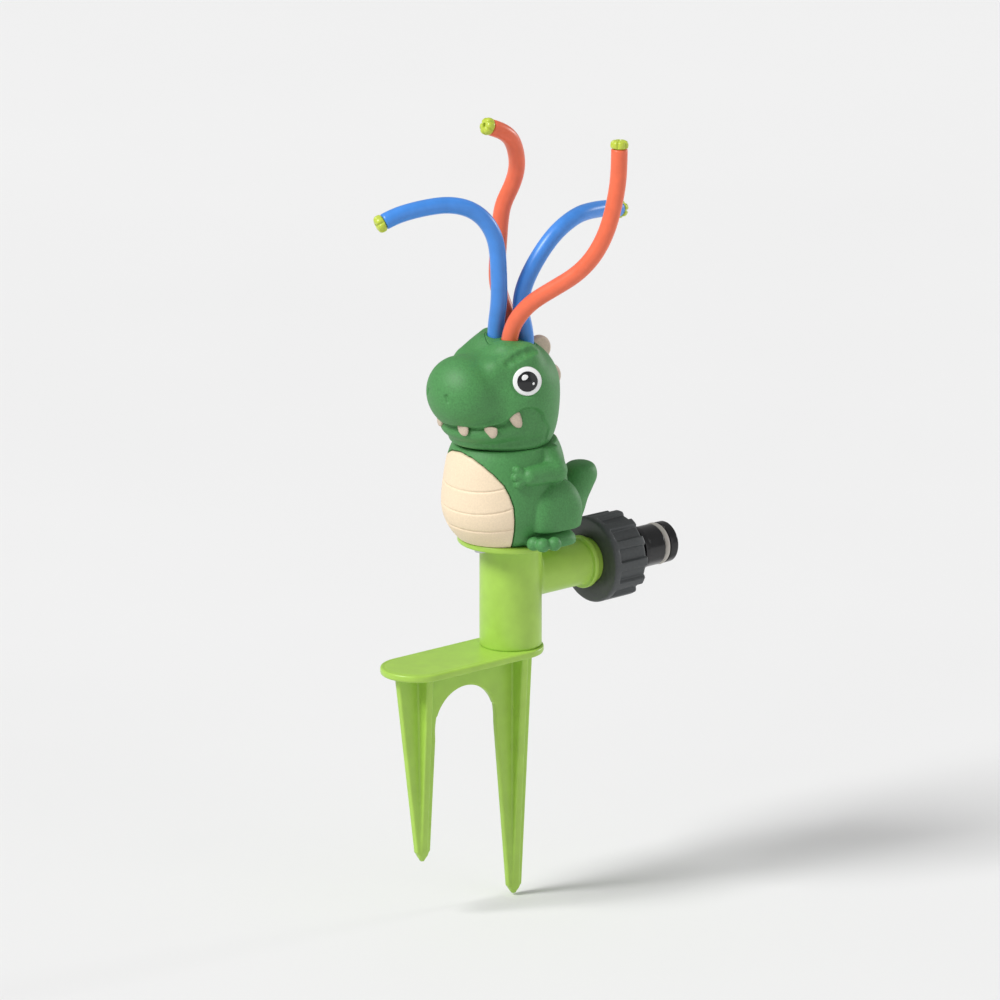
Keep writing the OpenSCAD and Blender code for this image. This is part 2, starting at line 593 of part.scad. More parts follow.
module nozzle(line, sx, sy) {
    mid = hose_mids(line);
    way = hose_ways(mid)[hose_rings - 1];
    slot_w = 0.9;
    color("GreenYellow")
        translate([sx * hose_pitch / 2, sy * hose_pitch / 2, pivot_z])
        translate(mid[hose_rings - 1])
        rotate([0, acos(way[2]), atan2(way[1], way[0])])
        difference() {
            union() {
                cylinder(r = nozzle_r, h = nozzle_len - 0.6);
                translate([0, 0, nozzle_len - 0.6]) cylinder(r1 = nozzle_r, r2 = nozzle_r - 0.6, h = 0.6);
                translate([0, 0, -5]) cylinder(r = hose_bore_r, h = 6);
            }
            for (turn = [0:60:120]) rotate([0, 0, turn])
                translate([-nozzle_r - 1, -slot_w / 2, nozzle_len - 0.9]) cube([2 * nozzle_r + 2, slot_w, 2]);
            translate([0, 0, -6]) cylinder(r = 0.8, h = 12, $fn = 32);
        }
}
module front_blue_root() { color("RoyalBlue") hose_root(-1, -1); }
module front_orange_root() { color("OrangeRed") hose_root(1, -1); }
module rear_blue_root() { color("RoyalBlue") hose_root(1, 1); }
module rear_orange_root() { color("OrangeRed") hose_root(-1, 1); }
module front_blue_hose() { color("RoyalBlue") hose(front_blue_line, -1, -1); }
module front_orange_hose() { color("OrangeRed") hose(front_orange_line, 1, -1); }
module rear_blue_hose() { color("RoyalBlue") hose(rear_blue_line, 1, 1); }
module rear_orange_hose() { color("OrangeRed") hose(rear_orange_line, -1, 1); }
module front_blue_nozzle() { nozzle(front_blue_line, -1, -1); }
module front_orange_nozzle() { nozzle(front_orange_line, 1, -1); }
module rear_blue_nozzle() { nozzle(rear_blue_line, 1, 1); }
module rear_orange_nozzle() { nozzle(rear_orange_line, -1, 1); }

ground_stake();
column();
swivel_nut();
coupling_washer();
hose_tail();
tail_o_ring();
riser_pipe();
riser_seal();
manifold();
manifold_seal();
hose_guide();
mounting_ring();
base_screws();
neck_ring();
dino_body();
dino_head();
belly_panel();
teeth();
head_crest();
back_plates();
eye_whites();
eye_pupils();
eye_glints();
front_blue_root();
front_orange_root();
rear_blue_root();
rear_orange_root();
front_blue_hose();
front_orange_hose();
rear_blue_hose();
rear_orange_hose();
front_blue_nozzle();
front_orange_nozzle();
rear_blue_nozzle();
rear_orange_nozzle();
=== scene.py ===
# %% [markdown]
# # A garden sprinkler with a dinosaur and four wiggle hoses
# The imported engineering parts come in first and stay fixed. Every visible piece is then built
# round them in the same frame: metres, Z up, the dinosaur looking along -Y.
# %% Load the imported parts
import json
import math

import bpy
import numpy as np
from mathutils import Matrix, Vector


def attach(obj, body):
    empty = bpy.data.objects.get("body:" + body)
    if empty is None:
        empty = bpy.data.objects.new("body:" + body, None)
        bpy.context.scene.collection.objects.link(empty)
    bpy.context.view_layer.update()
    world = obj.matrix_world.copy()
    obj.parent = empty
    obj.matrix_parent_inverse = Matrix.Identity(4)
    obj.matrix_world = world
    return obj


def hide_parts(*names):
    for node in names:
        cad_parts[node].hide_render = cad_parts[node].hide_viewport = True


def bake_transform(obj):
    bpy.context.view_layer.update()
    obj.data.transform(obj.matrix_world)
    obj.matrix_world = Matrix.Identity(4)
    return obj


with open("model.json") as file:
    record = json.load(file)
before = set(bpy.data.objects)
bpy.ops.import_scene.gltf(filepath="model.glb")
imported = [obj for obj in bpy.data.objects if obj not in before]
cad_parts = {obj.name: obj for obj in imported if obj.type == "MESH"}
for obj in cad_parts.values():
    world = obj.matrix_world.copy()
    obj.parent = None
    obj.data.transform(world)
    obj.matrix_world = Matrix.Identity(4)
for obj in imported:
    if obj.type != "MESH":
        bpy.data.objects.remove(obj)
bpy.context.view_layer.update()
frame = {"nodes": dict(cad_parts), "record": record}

MM = 0.001

# %% [markdown]
# ## The camera
# A long lens far away keeps upright edges upright, as a product shot does. The camera is set by
# its turn round the object and its tilt, so its three directions can be written down exactly.
# %% Camera
VIEW_TURN = math.radians(50.0)
VIEW_TILT = math.radians(16.6)
VIEW_DISTANCE = 12.0
MM_ACROSS = 384.6
view_right = Vector((math.cos(VIEW_TURN), math.sin(VIEW_TURN), 0))
view_back = Vector((math.sin(VIEW_TURN) * math.cos(VIEW_TILT),
                    -math.cos(VIEW_TURN) * math.cos(VIEW_TILT), math.sin(VIEW_TILT)))
view_up = view_back.cross(view_right)
view_centre = view_right * -0.00408 + view_up * 0.0577

camera = bpy.data.objects.new("studio_camera", bpy.data.cameras.new("studio_camera"))
bpy.context.scene.collection.objects.link(camera)
camera.data.sensor_width = 36
camera.data.lens = camera.data.sensor_width * VIEW_DISTANCE * 1000 / MM_ACROSS
view_axes = Matrix((view_right, view_up, view_back)).transposed().to_4x4()
camera.matrix_world = Matrix.Translation(view_centre + view_back * VIEW_DISTANCE) @ view_axes
bpy.context.scene.camera = camera
print("camera at", [round(v, 3) for v in camera.location])

# %% [markdown]
# ## From points to a piece
# Each piece is made as plain arrays of points in millimetres and faces, then turned into a mesh,
# shaded smooth, and told which moving body carries it and which finish it has.
# %% Mesh helpers
HOLDERS = {}


def new_mesh(name, points, faces):
    mesh = bpy.data.meshes.new(name)
    mesh.from_pydata((np.asarray(points, float) * MM).tolist(), [], [list(map(int, f)) for f in faces])
    mesh.validate()
    mesh.update()
    mesh.shade_smooth()
    part = bpy.data.objects.new(name, mesh)
    bpy.context.scene.collection.objects.link(part)
    return part


def dress(part, body, slot, stands_for=()):
    """Give a finished piece its body and its finish, and let it stand for CAD nodes."""
    if body:
        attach(part, body)
    HOLDERS.setdefault(slot, []).append(part)
    if stands_for:
        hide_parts(*stands_for)
    print(part.name, len(part.data.vertices), "points")
    return part


def ring_faces(rows, columns, wrap_rows=False, close_ends=True):
    """Quads between rings of points; the ends are closed with a fan each."""
    faces = []
    for i in range(rows if wrap_rows else rows - 1):
        for j in range(columns):
            a, b = i * columns + j, i * columns + (j + 1) % columns
            c, d = (i + 1) % rows * columns + (j + 1) % columns, (i + 1) % rows * columns + j
            faces.append((a, b, c, d))
    if close_ends and not wrap_rows:
        faces.append(tuple(range(columns))[::-1])
        faces.append(tuple((rows - 1) * columns + j for j in range(columns)))
    return faces


def merged(pieces):
    """One list of points and one of faces from several (points, faces) pairs."""
    points, faces, base = [], [], 0
    for piece_points, piece_faces in pieces:
        points.append(piece_points)
        faces += [tuple(i + base for i in face) for face in piece_faces]
        base += len(piece_points)
    return np.vstack(points), faces


# %% [markdown]
# ## Wiggle hoses
# Each hose is one soft extruded tube from a barb inside the head to its nozzle cap. It could be a
# curve with a round bevel; here it is a mesh tube swept along its centre line with rings that
# don't twist.
# %% Hose routes, in millimetres from the point where each hose starts to sway
HOSE_PITCH = 4.1
SWAY_Z = 126.7
HOSE_FOOT_Z = 110.2
HOSE_R = 3.2
HOSES = {
    "front_blue": ((-1, -1), [(0, 0, 0.6), (0.5, 0, 5), (2, 0, 13), (2.5, -0.5, 24.5), (2.5, -1.5, 36),
                              (1.5, -3.5, 42.6), (0, -6.5, 47.5), (-2.5, -11.5, 51.5), (-6, -19, 53.5),
                              (-9.5, -29, 53.1), (-12.6, -38.3, 51.5), (-14.6, -43.4, 49.3)]),
    "front_orange": ((1, -1), [(0, 0, 0.6), (1, 0.5, 4), (3, 1.5, 8.5), (8.4, 4.3, 15.4), (16, 8.8, 21.7),
                               (23.5, 13.8, 28.1), (28.7, 18.2, 35.8), (31.4, 22.4, 45.6),
                               (32.2, 25.7, 57), (32.1, 27.6, 66.5), (31.5, 28.5, 77)]),
    "rear_blue": ((1, 1), [(0, 0, 0.6), (-1.2, -0.2, 4.5), (-3.2, 0, 9.5), (-3.2, 1.2, 16.5),
                           (-2, 4.2, 24.2), (-0.6, 9.4, 32.2), (0.2, 16.1, 38.6), (-0.3, 26.1, 42.6),
                           (-2.8, 36.1, 42.2), (-5.6, 45.6, 40.6), (-8.6, 53.5, 38.2)]),
    "rear_orange": ((-1, 1), [(0, 0, 0.6), (-1.5, -0.5, 5), (-4.2, -1.7, 11.5), (-6.8, -1.8, 18),
                              (-7.8, -0.8, 25.5), (-8.2, 0.4, 34), (-8.9, 1.6, 41), (-9, 3.2, 48),
                              (-7.4, 5.8, 54), (-5.3, 6.9, 61.5), (-3.8, 5.4, 68.2), (-2.9, 2.2, 75.2),
                              (-2.7, -2.8, 79.2), (-3.4, -7.8, 81.4)]),
}


def smooth_line(points, per_span=12):
    """A curve through the points, as the part's source draws it."""
    p = np.asarray(points, float)
    out = []
    for i in range(len(p) - 1):
        a, b, c, d = p[max(i - 1, 0)], p[i], p[i + 1], p[min(i + 2, len(p) - 1)]
        for t in np.arange(per_span) / per_span:
            out.append(0.5 * (2 * b + (c - a) * t + (2 * a - 5 * b + 4 * c - d) * t ** 2
                              + (3 * b - 3 * c + d - a) * t ** 3))
    return np.array(out + [p[-1]])


def even_line(line, step):
    """The same curve with points an even step apart."""
    along = np.concatenate([[0], np.cumsum(np.linalg.norm(np.diff(line, axis=0), axis=1))])
    at = np.linspace(0, along[-1], int(round(along[-1] / step)) + 1)
    return np.stack([np.interp(at, along, line[:, k]) for k in range(3)], axis=1)


def hose_line(side, route):
    """Centre line from the barb in the head to the cap, in millimetres."""
    x, y = side[0] * HOSE_PITCH, side[1] * HOSE_PITCH
    free = smooth_line(np.array(route, float) + (x, y, SWAY_Z))
    root_z = np.arange(HOSE_FOOT_Z, SWAY_Z + route[0][2] - 0.5, 1.0)
    root = np.stack([np.full_like(root_z, x), np.full_like(root_z, y), root_z], axis=1)
    line = even_line(np.vstack([root, free]), 1.0)
    fixed = int(SWAY_Z - HOSE_FOOT_Z)
    for _ in range(16):
        middle = 0.25 * line[:-2] + 0.5 * line[1:-1] + 0.25 * line[2:]
        line[fixed:-1] = middle[fixed - 1:]
    return line


hose_lines = {name: hose_line(side, route) for name, (side, route) in HOSES.items()}
for name, line in hose_lines.items():
    long = np.linalg.norm(np.diff(line, axis=0), axis=1).sum()
    print(name, "hose is", round(long, 1), "mm long, barb to cap")


# %% Tube swept along a line
def carried_frames(line):
    """A direction and two side directions at each point, turned on without twist."""
    way = np.gradient(line, axis=0)
    way /= np.linalg.norm(way, axis=1)[:, None]
    side = np.zeros_like(way)
    side[0] = (1, 0, 0) if abs(way[0][0]) < 0.9 else (0, 1, 0)
    for i in range(len(way)):
        s = side[max(i - 1, 0)]
        s = s - way[i] * (s @ way[i])
        side[i] = s / np.linalg.norm(s)
    return way, side, np.cross(way, side)


HOSE_SIDES = 28


def hose_tube(line):
    """Ring points of a round tube with a small bevel at each end."""
    way, side, other = carried_frames(line)
    turn = np.linspace(0, 2 * np.pi, HOSE_SIDES, endpoint=False)
    radius = np.full(len(line), HOSE_R)
    radius[0] -= 0.3
    centres = line.copy()
    centres = np.vstack([centres, line[-1:]])
    centres[-2] = line[-1] - way[-1] * 0.25
    radius = np.append(radius, HOSE_R - 0.3)
    ways = [np.vstack([v, v[-1:]]) for v in (side, other)]
    rings = (centres[:, None] + radius[:, None, None]
             * (np.cos(turn)[None, :, None] * ways[0][:, None]
                + np.sin(turn)[None, :, None] * ways[1][:, None]))
    return rings.reshape(-1, 3), len(centres)


# %% [markdown]
# ## Nozzle caps
# Each hose ends in a small moulded cap with rounded lobes, slots between them, and a jet hole. A
# lathed profile gives the rounded shoulder; the slots are pressed into it by pulling the points
# near each slot angle inwards, more on the shoulder than at the rim.
# %% Cap shape
CAP_GAP = 0.35
CAP_SIDES = 72
CAP_LOBES = 6
CAP_PROFILE = [(-4.6, 1.7, 0), (-0.5, 1.7, 0), (-0.3, 2.5, 0), (CAP_GAP, 2.5, 0), (CAP_GAP, 3.0, 0),
               (CAP_GAP + 0.1, 3.28, 0.25), (CAP_GAP + 0.35, 3.42, 0.6), (1.2, 3.5, 0.9),
               (1.9, 3.48, 1.0), (2.5, 3.36, 1.0), (2.95, 3.1, 1.0), (3.25, 2.7, 1.0),
               (3.42, 2.2, 0.8), (3.47, 1.6, 0.4), (3.45, 1.15, 0.0), (3.3, 0.95, 0.0),
               (2.0, 0.85, 0.0), (0.6, 0.8, 0.0)]


def cap_points(line):
    way, side, other = carried_frames(line)
    turn = np.linspace(0, 2 * np.pi, CAP_SIDES, endpoint=False)
    slot_angle = np.abs((turn * CAP_LOBES / (2 * np.pi) + 0.5) % 1 - 0.5) * 2 * np.pi / CAP_LOBES
    rings = []
    for height, radius, notch in CAP_PROFILE:
        near = np.exp(-(slot_angle * 3.4 / 0.42) ** 2)
        lobe = 0.16 * (slot_angle * CAP_LOBES / np.pi) ** 0.5 - 0.16
        r = radius - notch * (0.55 * near - lobe)
        up = height - notch * 0.25 * near
        rings.append(line[-1] + way[-1] * up[:, None]
                     + r[:, None] * (np.cos(turn)[:, None] * side[-1] + np.sin(turn)[:, None] * other[-1]))
    return np.vstack(rings), len(CAP_PROFILE)


for name, line in hose_lines.items():
    points, rows = hose_tube(line)
    hose = new_mesh(name + "_tube", points, ring_faces(rows, HOSE_SIDES))
    dress(hose, None, "hose_blue" if "blue" in name else "hose_orange", (name + "_root", name + "_hose"))
    points, rows = cap_points(line)
    cap = new_mesh(name + "_cap", points, ring_faces(rows, CAP_SIDES))
    dress(cap, name, "nozzle_plastic", (name + "_nozzle",))
    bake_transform(hose)

# %% [markdown]
# ## Sculpting with distances
# A soft toy shape is hard to lay out face by face. It is easier to say how far any point is from
# blobs and limbs, to join those distances smoothly, and to cut creases by adding to them. A grid
# of cells then finds where the distance is zero: one point in each cell that the skin crosses,
# one quad round each grid edge that it crosses. Last, each point slides along the slope of the
# distance until it lies exactly on the skin, so fine creases stay crisp.
# %% Distances to simple forms; negative is inside
def blob(p, c, r):
    c, r = np.array(c, float), np.array(r, float)
    u = np.linalg.norm((p - c) / r, axis=1)
    v = np.linalg.norm((p - c) / r ** 2, axis=1)
    return u * (u - 1) / np.maximum(v, 1e-6)


def limb(p, a, b, ra, rb):
    a, b = np.array(a, float), np.array(b, float)
    h = np.clip((p - a) @ (b - a) / ((b - a) @ (b - a)), 0, 1)
    return np.linalg.norm(p - a - h[:, None] * (b - a), axis=1) - (ra + (rb - ra) * h)


def join(a, b, k):
    """Both forms, with a fillet of about k between them."""
    return np.minimum(a, b) - np.maximum(k - np.abs(a - b), 0) ** 2 / (4 * k)


def cut(a, b, k):
    """Form a without form b, with the edge rounded by about k."""
    return -join(-a, b, k)


def both(a, b, k):
    """Only where both forms are, with the edge rounded by about k."""
    return -join(-a, -b, k)


def rod(p, radius, low, high, k=0.3):
    """Upright round rod on the Z axis."""
    side = np.hypot(p[:, 0], p[:, 1]) - radius
    return both(side, np.maximum(low - p[:, 2], p[:, 2] - high), k)


def fade(x, low, high):
    t = np.clip((x - low) / (high - low), 0, 1)
    return t * t * (3 - 2 * t)


def fenced(u, v, outline):
    """Signed distance to a closed flat outline; negative inside."""
    q = np.array(outline, float)
    best = np.full(len(u), 1e9)
    inside = np.zeros(len(u), bool)
    for (ax, ay), (bx, by) in zip(q, np.roll(q, -1, axis=0)):
        dx, dy = bx - ax, by - ay
        t = np.clip(((u - ax) * dx + (v - ay) * dy) / (dx * dx + dy * dy), 0, 1)
        best = np.minimum(best, np.hypot(u - ax - t * dx, v - ay - t * dy))
        if dy != 0:
            crosses = ((ay > v) != (by > v)) & (u < dx * (v - ay) / dy + ax)
            inside ^= crosses
    return np.where(inside, -best, best)


# %% From a field of distances to a mesh
CORNERS = np.array([(i, j, k) for i in (0, 1) for j in (0, 1) for k in (0, 1)])
EDGES = [(a, b) for a in range(8) for b in range(a + 1, 8)
         if np.abs(CORNERS[a] - CORNERS[b]).sum() == 1]


def skin_cells(d):
    """One point in each crossed cell and one quad round each crossed edge."""
    s = d < 0
    n = d.shape
    count = sum(s[i:n[0] - 1 + i, j:n[1] - 1 + j, k:n[2] - 1 + k].astype(np.int8) for i, j, k in CORNERS)
    active = (count > 0) & (count < 8)
    ids = np.argwhere(active)
    number = np.full(active.shape, -1, np.int64)
    number[active] = np.arange(len(ids))
    value = np.stack([d[ids[:, 0] + i, ids[:, 1] + j, ids[:, 2] + k] for i, j, k in CORNERS], axis=1)
    total, hits = np.zeros((len(ids), 3)), np.zeros(len(ids))
    for a, b in EDGES:
        crossed = (value[:, a] < 0) != (value[:, b] < 0)
        t = np.where(crossed, value[:, a] / np.where(crossed, value[:, a] - value[:, b], 1), 0)
        total += crossed[:, None] * (CORNERS[a] + t[:, None] * (CORNERS[b] - CORNERS[a]))
        hits += crossed
    points = ids + total / hits[:, None]
    quads = []
    for axis in range(3):
        u, v = (axis + 1) % 3, (axis + 2) % 3
        low = [slice(1, -1)] * 3
        low[axis] = slice(0, -1)
        high = list(low)
        high[axis] = slice(1, None)
        inner, outer = s[tuple(low)], s[tuple(high)]
        at = np.argwhere(inner != outer)
        flip = outer[tuple(at.T)]
        base = at + 1
        base[:, axis] -= 1
        steps = []
        for du, dv in ((-1, -1), (0, -1), (0, 0), (-1, 0)):
            cell = base.copy()
            cell[:, u] += du
            cell[:, v] += dv
            steps.append(number[tuple(cell.T)])
        quad = np.stack(steps, axis=1)
        quad[flip] = quad[flip][:, ::-1]
        quads.append(quad)
    return points, np.vstack(quads)


BLOCK = 4
NEAR_BLOCKS = 1.9
SLIDES = 3
SLOPE_STEP = 0.03
FLATTEST = 0.2
LONGEST_SLIDE = 0.45


def sculpt(name, field, low, high, cell):
    """Mesh of the zero skin of a field inside a box, all in millimetres."""
    low, high = np.array(low, float), np.array(high, float)
    blocks = np.ceil((high - low) / (cell * BLOCK)).astype(int)
    n = blocks * BLOCK + 1
    coarse = np.stack(np.meshgrid(*[np.arange(b + 1) * BLOCK for b in blocks], indexing="ij"), -1)
    far = field(coarse.reshape(-1, 3) * cell + low).reshape(coarse.shape[:3])
    near = np.abs(far) < cell * BLOCK * NEAR_BLOCKS
    m = near.shape
    near_block = np.zeros(blocks, bool)
    for i, j, k in CORNERS:
        near_block |= near[i:m[0] - 1 + i, j:m[1] - 1 + j, k:m[2] - 1 + k]
    spots = [np.minimum(np.arange(size) // BLOCK, size // BLOCK - 1) for size in n]
    d = far[np.ix_(*[np.minimum((np.arange(size) + BLOCK // 2) // BLOCK, size // BLOCK) for size in n])]
    mask = near_block[np.ix_(*spots)]
    index = np.argwhere(mask)
    d[mask] = field(index * cell + low)
    points, quads = skin_cells(d)
    points = points * cell + low
    for _ in range(SLIDES):
        value = field(points)
        slope = np.stack([(field(points + step) - field(points - step)) / (2 * SLOPE_STEP)
                          for step in np.eye(3) * SLOPE_STEP], axis=1)
        move = -value[:, None] * slope / np.maximum((slope ** 2).sum(1), FLATTEST)[:, None]
        size = np.linalg.norm(move, axis=1)
        points += move * np.minimum(1, LONGEST_SLIDE * cell / np.maximum(size, 1e-9))[:, None]
    used, quads = np.unique(quads, return_inverse=True)
    return new_mesh(name, points[used], quads.reshape(-1, 4))


# %% [markdown]
# ## The dinosaur's head
# One hollow soft-touch moulding: a round skull, a heavy muzzle that hangs over a slightly sunk
# lower jaw, brow ridges, two nostrils and a crease round the mouth. All of it is one field, so
# every join is as soft as a moulded toy's.
# %% The figure's own frame: up from the saucer, and turned a little on the column
SAUCER_Z = 46.7
SPLIT_Z = 38.5
GUIDE_R = 9.9
FIGURE_TURN = math.radians(-5.0)
TURN_COS, TURN_SIN = math.cos(FIGURE_TURN), math.sin(FIGURE_TURN)


def turned(p):
    """From the shared frame to the figure's, about the column's axis."""
    return np.stack([p[:, 0] * TURN_COS + p[:, 1] * TURN_SIN,
                     p[:, 1] * TURN_COS - p[:, 0] * TURN_SIN, p[:, 2]], axis=1)


def placed(p):
    """From the figure's frame back to the shared one."""
    return np.stack([p[:, 0] * TURN_COS - p[:, 1] * TURN_SIN,
                     p[:, 1] * TURN_COS + p[:, 0] * TURN_SIN, p[:, 2] + SAUCER_Z], axis=1)


def lifted(field):
    return lambda p: field(turned(p - (0, 0, SAUCER_Z)))


def mirrored(p):
    s = np.array(p, float)
    s[:, 0] = np.abs(s[:, 0])
    return s


def skin_point(start, way, field):
    """Walk from inside a form out to its skin."""
    start, way = np.array(start, float), np.array(way, float) / np.linalg.norm(way)
    t = 0.0
    for _ in range(200):
        t -= 0.7 * float(field((start + way * t)[None])[0])
    return start + way * t


# %% Head without its details
def head_base(p):
    s = mirrored(p)
    skull = join(blob(p, (0, -1.4, 60), (21.5, 19.3, 19.2)), blob(p, (0, -2.2, 47.5), (20.3, 19.2, 18)), 6)
    muzzle = blob(p, (0, -22.3, 60.3), (15.8, 13.2, 14.4))
    jaw = blob(p, (0, -12.4, 46), (19.2, 18.3, 8.5))
    brow = limb(s, (10.2, -13.5, 70.7), (12.6, -1.5, 75.4), 3.4, 4.0)
    brow = join(brow, blob(s, (6.9, -6.6, 75.9), (4.2, 4.2, 3.2)), 2)
    return join(join(join(skull, muzzle, 6), jaw, 3), brow, 6)


EYE_WAY = np.array((0.88, -0.46, 0.14))
EYE_WAY /= np.linalg.norm(EYE_WAY)
EYE_R = 5.6
eye_spot = skin_point((8.8, -0.3, 65.0), EYE_WAY, head_base)
nostril = skin_point((6.5, -20, 61.1), (0, -1, 0), head_base)
print("eye centre", np.round(eye_spot, 2), "nostril", np.round(nostril, 2))

# %% Head field: lip line, sunk jaw, brow groove, nostrils, eye seats
LIP_TURN_R = 24
LIP = [(-4, 48.7), (0, 48.8), (2, 49.1), (4.8, 49.4), (8.3, 49.1), (10.9, 49), (13.5, 49.2),
       (16.9, 49.7), (19.9, 50.3), (22.4, 51.7), (24.9, 53.7), (28.3, 55.8), (31.4, 56.1),
       (34.3, 55.6), (36.4, 54.4), (38.3, 52.7), (39.1, 50.5), (41.5, 47.9), (43.8, 45.4),
       (43.8, 43.3), (42, 34), (-4, 34)]
LIP_CORNER = (35, 42)
JAW_INSET = 1.8
CREASE_DEEP = 1.0
CREASE_HALF = 0.45
BROW_GROOVE = [(15.1, -11.4, 74.0), (15.3, -8.2, 75.6), (15.6, -5.6, 76.6), (16.2, -2.2, 77.4),
               (16.4, 0.5, 77.4)]


def lip_turn(p):
    """How far round the head a point is from the middle of the mouth, as a length."""
    return np.arctan2(np.abs(p[:, 0]), -p[:, 1]) * LIP_TURN_R


def lip_distance(p):
    return fenced(lip_turn(p), p[:, 2], LIP)


def head_field(p):
    s = mirrored(p)
    d = head_base(p)
    lip = lip_distance(p)
    ahead = 1 - fade(lip_turn(p), *LIP_CORNER)
    sunk = fade(-lip, -0.1, 0.7) * fade(p[:, 2], 39.5, 43) * (0.35 + 0.65 * ahead)
    crease = np.exp(-(lip / CREASE_HALF) ** 2) * fade(p[:, 2], 44, 47) * (0.4 + 0.6 * ahead)
    d = d + JAW_INSET * sunk + CREASE_DEEP * crease
    for a, b in zip(BROW_GROOVE, BROW_GROOVE[1:]):
        d = cut(d, limb(s, a, b, 1.2, 1.2), 1.6)
    d = cut(d, limb(s, nostril + (-0.4, -0.3, 0.9), nostril + (0.4, -0.1, -0.8), 1.0, 0.8), 0.5)
    local = s - eye_spot
    out = local @ EYE_WAY
    across = np.linalg.norm(local - out[:, None] * EYE_WAY, axis=1)
    d = cut(d, both(across - (EYE_R + 0.5), -out - 0.1, 0.6), 1.0)
    d = both(d, SPLIT_Z - p[:, 2], 0.5)
    d = cut(d, rod(p, 13.1, 30, 56), 0.3)
    return cut(d, rod(p, GUIDE_R, 50, 90), 0.04)


head = sculpt("dinosaur_head", lifted(head_field), (-25, -40, SAUCER_Z + 37), (25, 20, SAUCER_Z + 82), 0.36)
dress(head, "stand", "dino_plastic", ("dino_head",))

# %% [markdown]
# ## Crown round the hoses
# A separate plug with four holes closes the top of the head. Its skin is the same field as the
# head's, so the crown reads as one surface with a fine seam.
# %% Crown plug
def crown_field(p):
    d = both(head_base(p), rod(p, GUIDE_R - 0.03, 72.4, 90), 0.04)
    both_ways = (-HOSE_PITCH, HOSE_PITCH)
    for x, y, _ in turned(np.array([(x, y, 0) for x in both_ways for y in both_ways])):
        d = cut(d, np.hypot(p[:, 0] - x, p[:, 1] - y) - (HOSE_R + 0.12), 0.3)
    return d


crown = sculpt("crown_plug", lifted(crown_field), (-11, -11, SAUCER_Z + 71), (11, 11, SAUCER_Z + 81), 0.3)
dress(crown, "stand", "dino_plastic", ("hose_guide",))

# %% [markdown]
# ## The dinosaur's body
# The body is a second hollow moulding: a barrel trunk, short arms folded on the chest, round
# thighs, splayed feet with toes and a stub tail. The cream belly sits in a shallow bed, so a
# fine dark gap runs round it.
# %% Belly outline: half its angle at each height
BELLY_R = 23.0
BELLY = [(3.3, 36.5), (17.2, 35.5), (28.9, 33.2), (39.2, 30.2), (49, 26.2), (53.9, 22.4), (57.7, 17.8),
         (58.6, 12.6), (58.3, 8.1), (57, 3), (55.6, 0)]
BELLY_OUTLINE = [(-6, 36.6)] + [(math.radians(a) * BELLY_R, z) for a, z in BELLY] + [(22.2, -3), (-6, -3)]
BELLY_DEPTH = 1.3


def belly_distance(p):
    u = np.arctan2(np.abs(p[:, 0]), -p[:, 1]) * BELLY_R
    return fenced(u, p[:, 2], BELLY_OUTLINE)


def squared_blob(p, c, r, plan_power, rise_power):
    """A blob with fuller corners the higher its powers, in plan and going up."""
    q = np.abs((p - np.array(c, float)) / np.array(r, float))
    plan = (q[:, 0] ** plan_power + q[:, 1] ** plan_power) ** (1 / plan_power)
    return ((plan ** rise_power + q[:, 2] ** rise_power) ** (1 / rise_power) - 1) * min(r)


def trunk_field(p):
    trunk = join(blob(p, (0, -2.6, 14.8), (23.5, 25, 21.5)), blob(p, (0, -2.6, 28.6), (21.5, 23.1, 20.3)), 6)
    tail = join(blob(p, (0, 20.5, 7), (9, 11, 9)), limb(p, (0, 24.2, 4), (0, 32.6, 18.6), 6.5, 6.6), 4)
    return join(trunk, both(tail, p[:, 2] - 23.8, 2.4), 4)


# %% Body field
TOES = [(23.2, -5.4, 2.5), (27.0, -3.9, 2.6), (28.0, 0.8, 2.6)]
PALM = (21.6, -8.2, 29.3)
FINGERS = [(20.4, -11.1, 32.2), (20.7, -12.0, 29.5), (21.3, -11.3, 26.8)]
FOOT_TOP = 6.2


def body_field(p):
    s = mirrored(p)
    d = trunk_field(p)
    d = d + BELLY_DEPTH * fade(-belly_distance(p), -0.35, -0.2)
    thigh = squared_blob(s, (16.5, 6.2, 12), (10.6, 11.8, 14.2), 3.4, 2.2)
    d = join(d, both(thigh, FOOT_TOP + 0.1 - p[:, 2], 0.8), 0.5)
    foot = squared_blob(s, (16.5, 5.2, 0.8), (9.7, 10.5, FOOT_TOP - 0.8), 3, 2.4)
    for toe in TOES:
        foot = join(foot, blob(s, toe, (2.75, 2.75, 2.75)), 0.9)
    d = join(d, foot, 0.6)
    arm = join(limb(s, (16.4, 5.8, 35.6), (21.1, 6.0, 29.6), 4.6, 4.7),
               limb(s, (21.1, 5.4, 29.4), (22.0, -6.2, 29.2), 4.5, 3.7), 1.5)
    for tip in FINGERS:
        arm = join(arm, limb(s, PALM, tip, 2.0, 1.7), 0.5)
    d = join(d, arm, 0.5)
    d = both(d, -p[:, 2], 0.5)
    d = both(d, p[:, 2] - SPLIT_Z, 0.5)
    d = cut(d, rod(p, 13.1, 5, 60), 0.3)
    return cut(d, rod(p, 16.9, -9, 6.1), 0.3)


body = sculpt("dinosaur_body", lifted(body_field), (-33, -32, SAUCER_Z - 1), (33, 44, SAUCER_Z + 40), 0.45)
dress(body, "stand", "dino_plastic", ("dino_body",))


# %% Cream belly with three moulded lines
BELLY_LINES = [(23.0, 2.3, 50), (14.3, 3.3, 57.7), (7.2, 1.9, 57.7)]


